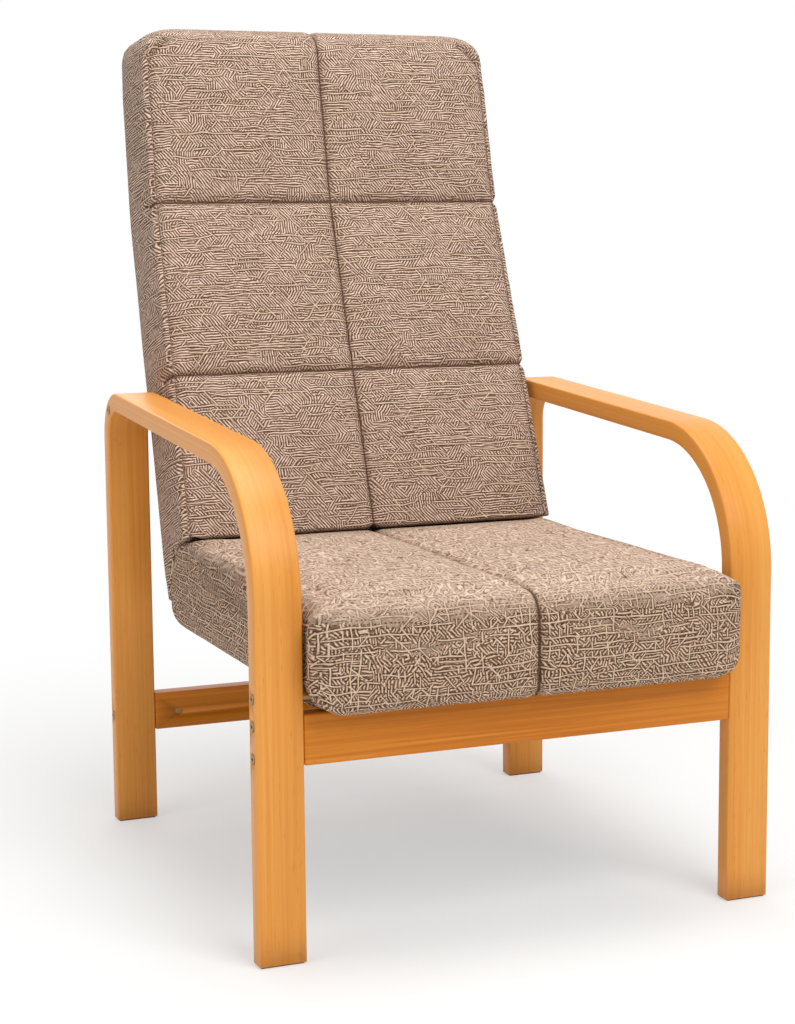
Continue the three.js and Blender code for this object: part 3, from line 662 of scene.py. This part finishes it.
def grainOfStrip(mesh):  # u runs along the strip and v round it; layers counts the glued layers on the edges
    (frontY, frontZ), (rearY, rearZ) = stripBends()
    rise, middle = strip["rise"], strip["thickness"] / 2
    legLength = frontZ
    bendLength = (math.pi / 2 - rise) * (strip["frontBend"] - middle)
    armLength = (rearY - frontY) / math.cos(rise)
    rearLength = (math.pi / 2 + rise) * (strip["rearBend"] - middle)

    def along(y, z):
        y = y - legFront
        if y < frontY and z < frontZ:
            return z, y
        if y > rearY and z < rearZ:
            return legLength + bendLength + armLength + rearLength + rearZ - z, strip["depth"] - y
        turn = math.atan2(y - frontY, z - frontZ)
        if turn < -rise and y < frontY + 0.02:
            run = (turn + math.pi / 2) * (strip["frontBend"] - middle)
            deep = strip["frontBend"] - math.hypot(y - frontY, z - frontZ)
            return legLength + run, deep
        turn = math.atan2(y - rearY, z - rearZ)
        if turn > -rise and y > rearY - 0.02:
            run = (turn + rise) * (strip["rearBend"] - middle)
            deep = strip["rearBend"] - math.hypot(y - rearY, z - rearZ)
            return legLength + bendLength + armLength + run, deep
        run = (y - frontY) * math.cos(rise) + (z - frontZ) * math.sin(rise)
        rest = strip["frontBend"] - ((z - frontZ) * math.cos(rise) - (y - frontY) * math.sin(rise))
        return legLength + bendLength + run, rest

    mesh.uv_layers.new(name="grain")
    mesh.attributes.new("layers", "FLOAT", "CORNER")
    uv, layers = mesh.uv_layers["grain"], mesh.attributes["layers"]
    for polygon in mesh.polygons:  # each arm and each of its faces shows another part of the grain
        sideFace = abs(polygon.normal.x) > 0.8
        for corner in polygon.loop_indices:
            point = mesh.vertices[mesh.loops[corner].vertex_index].co
            length, deep = along(point.y, point.z)
            onRight = point.x > 0
            across = 0.4 + deep + (0.1 if onRight else 0.0) if sideFace else point.x
            across += 0.2 if deep > middle else 0.0
            uv.data[corner].uv = (length + (3.7 if onRight else 0.0), across)
            layers.data[corner].value = deep / strip["layer"] if sideFace else 0.0


def nutDrills(depth, heights):
    return [
        ("y", (side * holes["nutPlace"], at(depth), height), holes["nut"], holes["nutBore"])
        for side in (-1, 1)
        for height in heights
    ]


def rail(name, shape, drills, node):
    depth, low, high = shape["depth"], shape["low"], shape["high"]
    middle = (0, at(depth + strip["thickness"] / 2), (low + high) / 2)
    bm = bmesh.new()
    bmesh.ops.create_cube(bm, size=1.0)
    bmesh.ops.scale(bm, vec=(2 * rails["half"], strip["thickness"], high - low), verts=bm.verts)
    bmesh.ops.translate(bm, vec=middle, verts=bm.verts)
    rounded(bm, bm.edges, rails["edge"], 3, "EDGES")
    bmesh.ops.recalc_face_normals(bm, faces=bm.faces)
    item = bored(linked(name, bm, railBeechAndShade), drills)
    uv = item.data.uv_layers.get("grain") or item.data.uv_layers.new(name="grain")
    for polygon in item.data.polygons:
        flat = abs(polygon.normal.z) > 0.7
        for corner in polygon.loop_indices:
            point = item.data.vertices[item.data.loops[corner].vertex_index].co
            uv.data[corner].uv = (point.x + depth * 5, point.y + 0.3 if flat else point.z)
    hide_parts(node)


for side in (-1, 1):
    armFrame(side)
frontNuts = nutDrills(strip["thickness"], [height for _, height in holes["railBolts"]])
rail("front_cross_rail", rails["front"], frontNuts, "front_rail")
rearNuts = nutDrills(rails["rear"]["depth"], [holes["rearRailBolt"][1]])
rail("rear_cross_rail", rails["rear"], rearNuts, "rear_rail")
print("stage: wood")


# Upholstery

seat = {
    "halfWidth": 0.2612,
    "front": -0.040,
    "bottom": 0.2803,
    "top": 0.4033,
    "outline": (  # depth, height and rounding of each corner in the side view, from the front below
        (-0.040, 0.2803, 0.018),
        (-0.040, 0.4033, 0.032),
        (0.5435, 0.4033, 0.083),
        (0.5425, 0.3020, 0.0),
        (0.5183, 0.2803, 0.031),
    ),
    "lowerSide": (0.021, 0.052),  # along the arms, and at the front corners
    "upperSide": (0.020, 0.044),
    "frontSide": 0.032,
    "frontWider": 0.007,  # by how much each side stands out before the legs
    "frontSeam": 0.386,  # height of the seam across the front
    "betweenArms": 0.2643,  # the cushions go no further out beside the legs and arms
    "besideLeg": 0.020,  # from the middle of the leg
    "besideArm": (0.555, 0.045),  # height of the arm's middle, and how far from it
    "wornAndLit": (0.47, 0.08),  # depth at which the worn top, painted lighter as if lit from above, ends, and the length over which it fades
    "drawn": 0.4,  # the cloth's pattern is drawn out from front to back on the top
}
back = {
    "halfWidth": 0.2585,
    "topHalfWidth": 0.2455,
    "hip": (0.463, 0.4033),
    "lean": math.radians(20),
    "headLean": math.radians(12.2),
    "seams": (0.222, 0.459),
    "length": 0.695,
    "bend": 0.06,
    "thickness": 0.120,
    "outline": (  # how far up the back, and how deep behind its front face
        (0.0010, 0.0, 0.004),
        (0.695, 0.0, 0.020),
        (0.709, 0.120, 0.030),
        (-0.0419, 0.120, 0.0155),
        (-0.0578, 0.1140, 0.0),
        (-0.0595, 0.1092, 0.0),
        (0.0287, 0.0768, 0.078),
    ),
    "domed": 0.014,  # rise of the top from the front panel to the rear
    "topSide": (0.048, 0.026),  # rounding of the top corners at the front panel, and behind it
    "frontSide": 0.013,
    "rearSide": 0.004,
    "wider": (0.0025, 0.0025),  # by how much each side is cut further out at the front and at the rear
    "sideSeam": 0.005,  # from the edge to the seam down each side of the front
}
padding = {
    "voxel": 0.006,
    "pressure": 4.0,
    "frames": 20,
    "crown": 0.0095,  # most that a panel may swell
    "seatSide": 0.004,
    "backSide": 0.005,
    "channel": (0.012, 0.0058),  # how far a sewn channel reaches to each side, and how deep it is
    "corner": (0.016, 0.0075),  # where the back's front meets its sides
    "topstitch": (0.005, 0.0006),
    "sewnWidth": 0.0045,  # the cover is held down this far to each side of a seam
    "pucker": (38, 0.0009, 0.022),  # scale of the noise, height, and reach from a seam
    "uneven": (9, 0.0007),
    "fold": 0.03,  # how far over an edge the cloth's pattern keeps its scale
    "sideDrawn": 0.6,  # and how far it is drawn out along the sides
}


def outlined(outline, halfWidth):  # a side-view outline with rounded corners, carried across the chair
    bm = bmesh.new()
    corners = [bm.verts.new((-halfWidth, a, b)) for a, b, _ in outline]
    bm.faces.new(corners)
    for corner, (_, _, rounding) in zip(corners, outline):
        if rounding:
            rounded(bm, [corner], rounding, 8, "VERTICES")
    made = bmesh.ops.extrude_face_region(bm, geom=list(bm.faces))
    verts = [v for v in made["geom"] if isinstance(v, bmesh.types.BMVert)]
    bmesh.ops.translate(bm, verts=verts, vec=(2 * halfWidth, 0, 0))
    bmesh.ops.recalc_face_normals(bm, faces=bm.faces)
    return bm


def vectorsOf(rows, key):
    flat = np.empty(len(rows) * 3, np.float32)
    rows.foreach_get(key, flat)
    return flat.reshape(-1, 3).astype(float)


def pointsOf(mesh):
    return vectorsOf(mesh.vertices, "co")


def normalsOf(mesh):
    return vectorsOf(mesh.vertices, "normal")


def noted(mesh, name, values):  # an attribute with one number or one vector for each vertex
    kind, key = ("FLOAT", "value") if values.ndim == 1 else ("FLOAT_VECTOR", "vector")
    mesh.attributes.new(name, kind, "POINT").data.foreach_set(key, values.astype(np.float32).ravel())


def putPoints(mesh, points):
    mesh.vertices.foreach_set("co", points.astype(np.float32).ravel())
    mesh.update()


def remeshed(item):
    change = item.modifiers.new("even", "REMESH")
    change.mode = "VOXEL"
    change.voxel_size = padding["voxel"]
    return baked(item)


def roundedCorner(points, a, b, signA, signB, limitA, limitB, radius):
    # points past the corner circle's centre in both directions are drawn in onto the circle
    centreA, centreB = limitA - signA * radius, limitB - signB * radius
    offA, offB = (points[:, a] - centreA) * signA, (points[:, b] - centreB) * signB
    reach = np.hypot(offA, offB)
    out = (offA > 0) & (offB > 0) & (reach > radius)
    share = np.where(out, radius / np.maximum(reach, 1e-9), 1.0)
    points[:, a] = np.where(out, centreA + signA * offA * share, points[:, a])
    points[:, b] = np.where(out, centreB + signB * offB * share, points[:, b])


def backPlace(points):
    # a point (across, up the back, deep behind its face) is placed in the chair
    width, up, deep = points[:, 0], points[:, 1], points[:, 2]
    start = back["seams"][1] - back["bend"] / 2
    turned = np.clip((up - start) / back["bend"], 0, 1)
    lean = back["lean"] + (back["headLean"] - back["lean"]) * turned
    middle = back["lean"] + (back["headLean"] - back["lean"]) * turned / 2
    below = np.minimum(up, start)
    above = np.maximum(up - start - back["bend"], 0)
    curved = back["bend"] * turned
    y = below * math.sin(back["lean"]) + curved * np.sin(middle) + above * math.sin(back["headLean"])
    z = below * math.cos(back["lean"]) + curved * np.cos(middle) + above * math.cos(back["headLean"])
    narrowed = 1 - (1 - back["topHalfWidth"] / back["halfWidth"]) * np.clip(up / back["length"], 0, 1)
    hipY, hipZ = back["hip"]
    return np.stack(
        [width * narrowed, at(hipY) + y + deep * np.cos(lean), hipZ + z - deep * np.sin(lean)], axis=1
    )


def inflated(item, held, limit):
    # cloth under pressure, held where the cover is sewn or rests on something
    start = pointsOf(item.data)
    group = item.vertex_groups.new(name="held")
    group.add([int(i) for i in np.nonzero(held)[0]], 1.0, "REPLACE")
    cloth = item.modifiers.new("Cloth", "CLOTH")
    cloth.settings.quality = 4
    cloth.settings.mass = 0.3
    cloth.settings.tension_stiffness = 8
    cloth.settings.compression_stiffness = 8
    cloth.settings.shear_stiffness = 4
    cloth.settings.bending_stiffness = 0.6
    cloth.settings.use_pressure = True
    cloth.settings.uniform_pressure_force = padding["pressure"]
    cloth.settings.vertex_group_mass = "held"
    cloth.settings.effector_weights.gravity = 0
    cloth.collision_settings.use_collision = False
    cloth.point_cache.frame_start = 1
    cloth.point_cache.frame_end = padding["frames"]
    for number in range(1, padding["frames"] + 1):
        scene.frame_set(number)
    graph = bpy.context.evaluated_depsgraph_get()
    swollen = pointsOf(item.evaluated_get(graph).data)
    item.modifiers.clear()
    item.vertex_groups.clear()
    scene.frame_set(1)
    move = swollen - start
    normals = normalsOf(item.data)
    outward = (move * normals).sum(axis=1)
    move += normals * (np.maximum(outward, -0.0008) - outward)[:, None]  # the filling lets no edge sink in
    length = np.linalg.norm(move, axis=1)
    eased = limit * np.tanh(length / limit)
    putPoints(item.data, start + move * (eased / np.maximum(length, 1e-9))[:, None])


def clothMap(mesh, local, depthAxis, heightAxis, crest, drawn):
    # the sides are mapped by depth and height, the rest by width and a height that runs on round the edges
    corners = np.empty(len(mesh.loops), np.int32)
    mesh.loops.foreach_get("vertex_index", corners)
    quads = local[corners.reshape(-1, 4)]
    facing = np.abs(np.cross(quads[:, 2] - quads[:, 0], quads[:, 3] - quads[:, 1]))
    sideways = ((facing[:, 0] > facing[:, depthAxis]) & (facing[:, 0] > facing[:, heightAxis]))[:, None]
    depth, height = quads[:, :, depthAxis] - local[:, depthAxis].min(), quads[:, :, heightAxis]
    lowest, highest = local[:, heightAxis].min(), local[:, heightAxis].max()
    over = drawn * depth + (1 - drawn) * padding["fold"] * (1 - np.exp(-depth / padding["fold"]))
    over *= np.clip((2 * height - lowest - highest) / (highest - lowest) / 0.7, -1, 1)
    behind = (depth.mean(axis=1) > depth.max() / 2)[:, None]
    across = np.where(sideways, depth * padding["sideDrawn"] + 3.0, quads[:, :, 0])
    up = np.where(sideways, height, np.where(behind, 2 * crest - height, height) + over)
    layer = mesh.uv_layers.new(name="weave")
    layer.data.foreach_set("uv", np.stack([across, up], axis=2).astype(np.float32).ravel())


def sewn(item, local, seamDistances, grooves, wearAndTopLightOf, axes):
    # one subdivision, then the sewn channels and the puckers beside them
    noted(item.data, "local", local)
    finer = item.modifiers.new("finer", "SUBSURF")
    finer.levels = finer.render_levels = 1
    mesh = baked(item).data
    local = vectorsOf(mesh.attributes["local"].data, "vector")
    distances = seamDistances(local)
    nearest = np.abs(distances).min(axis=1)
    points, normals = pointsOf(mesh), normalsOf(mesh)
    groove = np.zeros(len(points))
    for number, name in enumerate(grooves):
        reach, depth = padding[name]
        groove = np.maximum(groove, np.clip(1 - np.abs(distances[:, number]) / reach, 0, 1) ** 2 * depth)
    rippleScale, rippleHeight, rippleReach = padding["pucker"]
    broadScale, broadHeight = padding["uneven"]
    ripple = np.array([noise.noise(Vector(p) * rippleScale) for p in points]) * np.exp(-nearest / rippleReach)
    broad = np.array([noise.noise(Vector(p) * broadScale + Vector((3, 7, 1))) for p in points])
    out = ripple * rippleHeight + broad * broadHeight - groove
    putPoints(mesh, points + normals * out[:, None])
    mesh.attributes.remove(mesh.attributes["local"])
    clothMap(mesh, local, *axes)
    noted(mesh, "seams", distances)
    # wear together with painted top light, read by the shader
    noted(mesh, "wear", wearAndTopLightOf(local, normals))
    mesh.polygons.foreach_set("use_smooth", [True] * len(mesh.polygons))


def cushion(name, item, local, held, limit, seamDistances, grooves, wearAndTopLightOf, axes, nodes):
    inflated(item, held, limit)
    sewn(item, local, seamDistances, grooves, wearAndTopLightOf, axes)
    squeezed(item)
    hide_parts(*nodes)
    print("stage:", name)


def squeezed(item):  # the arm frames hold the cushions' sides in where they pass
    points = pointsOf(item.data)
    depth, height, across = points[:, 1] - legFront, points[:, 2], np.abs(points[:, 0])
    armHeight, armReach = seat["besideArm"]
    besideLeg = np.abs(depth - strip["thickness"] / 2) < seat["besideLeg"]
    besideArm = (np.abs(height - armHeight) < armReach) & (depth > 0.02)
    limit = np.where(besideLeg | besideArm, seat["betweenArms"], across)
    points[:, 0] = np.sign(points[:, 0]) * np.minimum(across, limit)
    putPoints(item.data, points)


def seatSeams(local):
    far = np.full(len(local), 1.0)
    topOrFront = (local[:, 2] > seat["top"] - 0.02) | (local[:, 1] < seat["front"] + 0.02)
    middle = np.where(topOrFront, local[:, 0], far)
    inFront = (local[:, 1] < seat["front"] + 0.03) & (np.abs(local[:, 0]) < seat["halfWidth"] - 0.012)
    return np.stack([middle, np.where(inFront, local[:, 2] - seat["frontSeam"], far), far], axis=1)


def seatWearAndTopLight(local, normals):  # the top is brushed smoother by use, and painted lighter where it faces up, as if lit from above
    end, fade = seat["wornAndLit"]
    forward = np.clip((end - local[:, 1]) / fade, 0, 1)
    return np.clip((normals[:, 2] - 0.15) / 0.8, 0, 1) * forward


# the back has no wear and no painted top light
def noWearNorTopLight(local, normals):
    return np.zeros(len(local))


def makeSeat():
    bm = outlined(seat["outline"], seat["halfWidth"])
    item = remeshed(linked("seat_cushion", bm, seatCloth))
    points = pointsOf(item.data)
    half, top, bottom, front = seat["halfWidth"], seat["top"], seat["bottom"], seat["front"]
    for sign in (-1, 1):
        edges = seat["lowerSide"], seat["upperSide"]
        lower, upper = (np.interp(points[:, 1], (front, front + 0.07), edge[::-1]) for edge in edges)
        roundedCorner(points, 0, 2, sign, -1, sign * half, bottom, lower)
        roundedCorner(points, 0, 2, sign, 1, sign * half, top, upper)
        roundedCorner(points, 0, 1, sign, -1, sign * half, front, seat["frontSide"])
    local = points.copy()
    forward = np.clip((-0.004 - local[:, 1]) / 0.016, 0, 1)
    points[:, 0] *= 1 + seat["frontWider"] / half * forward
    points[:, 1] += legFront
    putPoints(item.data, points)
    under = local[:, 2] < bottom + 0.003
    behind = local[:, 1] > 0.475
    held = (np.abs(seatSeams(local)[:, 0]) < padding["sewnWidth"]) | under | behind
    onSide = (np.abs(local[:, 0]) > half - 0.02) & (local[:, 2] < top - 0.016)
    limit = np.where(onSide, padding["seatSide"], padding["crown"])
    limit = np.where(local[:, 1] < front + 0.01, padding["crown"] * 0.5, limit)
    grooves = ("channel", "topstitch")
    axes = (1, 2, top, seat["drawn"])
    cushion("seat", item, local, held, limit, seatSeams, grooves, seatWearAndTopLight, axes, ["seat_upholstery"])


def backSeams(local):
    far = np.full(len(local), 1.0)
    facing = local[:, 2] < 0.03
    overTop = (local[:, 1] > back["length"] - 0.02) & (local[:, 2] < 0.05)
    middle = np.where(facing | overTop, local[:, 0], far)
    first, second = (local[:, 1] - seam for seam in back["seams"])
    nearer = np.where(np.abs(first) < np.abs(second), first, second)
    across = np.where(facing, nearer, far)
    inset = back["halfWidth"] - np.abs(local[:, 0])
    ending = np.maximum(local[:, 1] - (back["length"] - 0.045), 0)  # the side seams run out below the top
    besideSeam = local[:, 2] - inset + back["sideSeam"] + ending
    side = np.where((inset < 0.04) & (local[:, 2] < 0.03), besideSeam, far)
    return np.stack([middle, across, side], axis=1)


def makeBack():
    bm = outlined(back["outline"], back["halfWidth"])
    item = remeshed(linked("back_cushion", bm, backCloth))
    points = pointsOf(item.data)
    half, length = back["halfWidth"], back["length"]
    frontCorner, rearCorner = back["topSide"]
    behind = np.clip(points[:, 2] / 0.035, 0, 1)
    for sign in (-1, 1):
        corner = frontCorner + (rearCorner - frontCorner) * behind
        top = length + back["domed"] * np.clip(points[:, 2] / back["thickness"], 0, 1)
        roundedCorner(points, 0, 1, sign, 1, sign * half, top, corner)
        roundedCorner(points, 0, 2, sign, -1, sign * half, 0.0, back["frontSide"])
        roundedCorner(points, 0, 2, sign, 1, sign * half, back["thickness"], back["rearSide"])
    local = points.copy()
    wider = np.interp(points[:, 2], (0, back["thickness"]), back["wider"])
    points[:, 0] *= 1 + wider / half * np.clip((length - points[:, 1]) / 0.07, 0, 1)
    putPoints(item.data, backPlace(points))
    item.data.flip_normals()  # placing the back mirrors it
    distances = np.abs(backSeams(local))
    rolled = (np.abs(local[:, 0]) > half - 0.026) | (local[:, 1] > length - 0.024) | (local[:, 2] > 0.004)
    rear = local[:, 2] > back["thickness"] - 0.004
    below = (local[:, 1] < 0.012) | ((local[:, 1] < 0.05) & (local[:, 2] > 0.02))
    sewnDown = (distances[:, :2].min(axis=1) < padding["sewnWidth"]) & ~rolled | (distances[:, 2] < 0.004)
    held = sewnDown | rear | below
    onSide = np.abs(local[:, 0]) > half - 0.01
    limit = np.where(onSide, padding["backSide"], padding["crown"])
    grooves = ("channel", "channel", "corner")
    axes = (2, 1, length + back["domed"] / 2, 1.0)
    cushion("back", item, local, held, limit, backSeams, grooves, noWearNorTopLight, axes, ["back_upholstery"])


makeSeat()
makeBack()


rearPanel = {
    "halfWidth": 0.236,
    "low": 0.016,
    "high": 0.648,
    "deep": 0.1172,
    "crown": 0.0035,
    "thickness": 0.0035,
}


def makeRearPanel():
    bm = bmesh.new()
    bmesh.ops.create_grid(bm, x_segments=28, y_segments=40, size=0.5)
    for vert in bm.verts:
        x, up = vert.co.x, vert.co.y + 0.5
        swell = (1 - abs(2 * x) ** 4) * (1 - abs(2 * up - 1) ** 4)
        run = rearPanel["low"] + up * (rearPanel["high"] - rearPanel["low"])
        deep = rearPanel["deep"] + rearPanel["thickness"] + rearPanel["crown"] * swell
        vert.co = backPlace(np.array([[2 * x * rearPanel["halfWidth"], run, deep]]))[0]
    bmesh.ops.recalc_face_normals(bm, faces=bm.faces)
    if sum(f.normal.y for f in bm.faces) < 0:
        bmesh.ops.reverse_faces(bm, faces=bm.faces)
    bmesh.ops.solidify(bm, geom=list(bm.faces), thickness=rearPanel["thickness"])
    bmesh.ops.recalc_face_normals(bm, faces=bm.faces)
    item = linked("rear_panel", bm, backCloth)
    noted(item.data, "seams", np.ones((len(item.data.vertices), 3)))  # far from any seam
    layer = item.data.uv_layers.new(name="weave")
    for loop in item.data.loops:
        point = item.data.vertices[loop.vertex_index].co
        layer.data[loop.index].uv = (point.x, point.z)
    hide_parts("back_rear_cover")


makeRearPanel()
print("stage: rear panel")
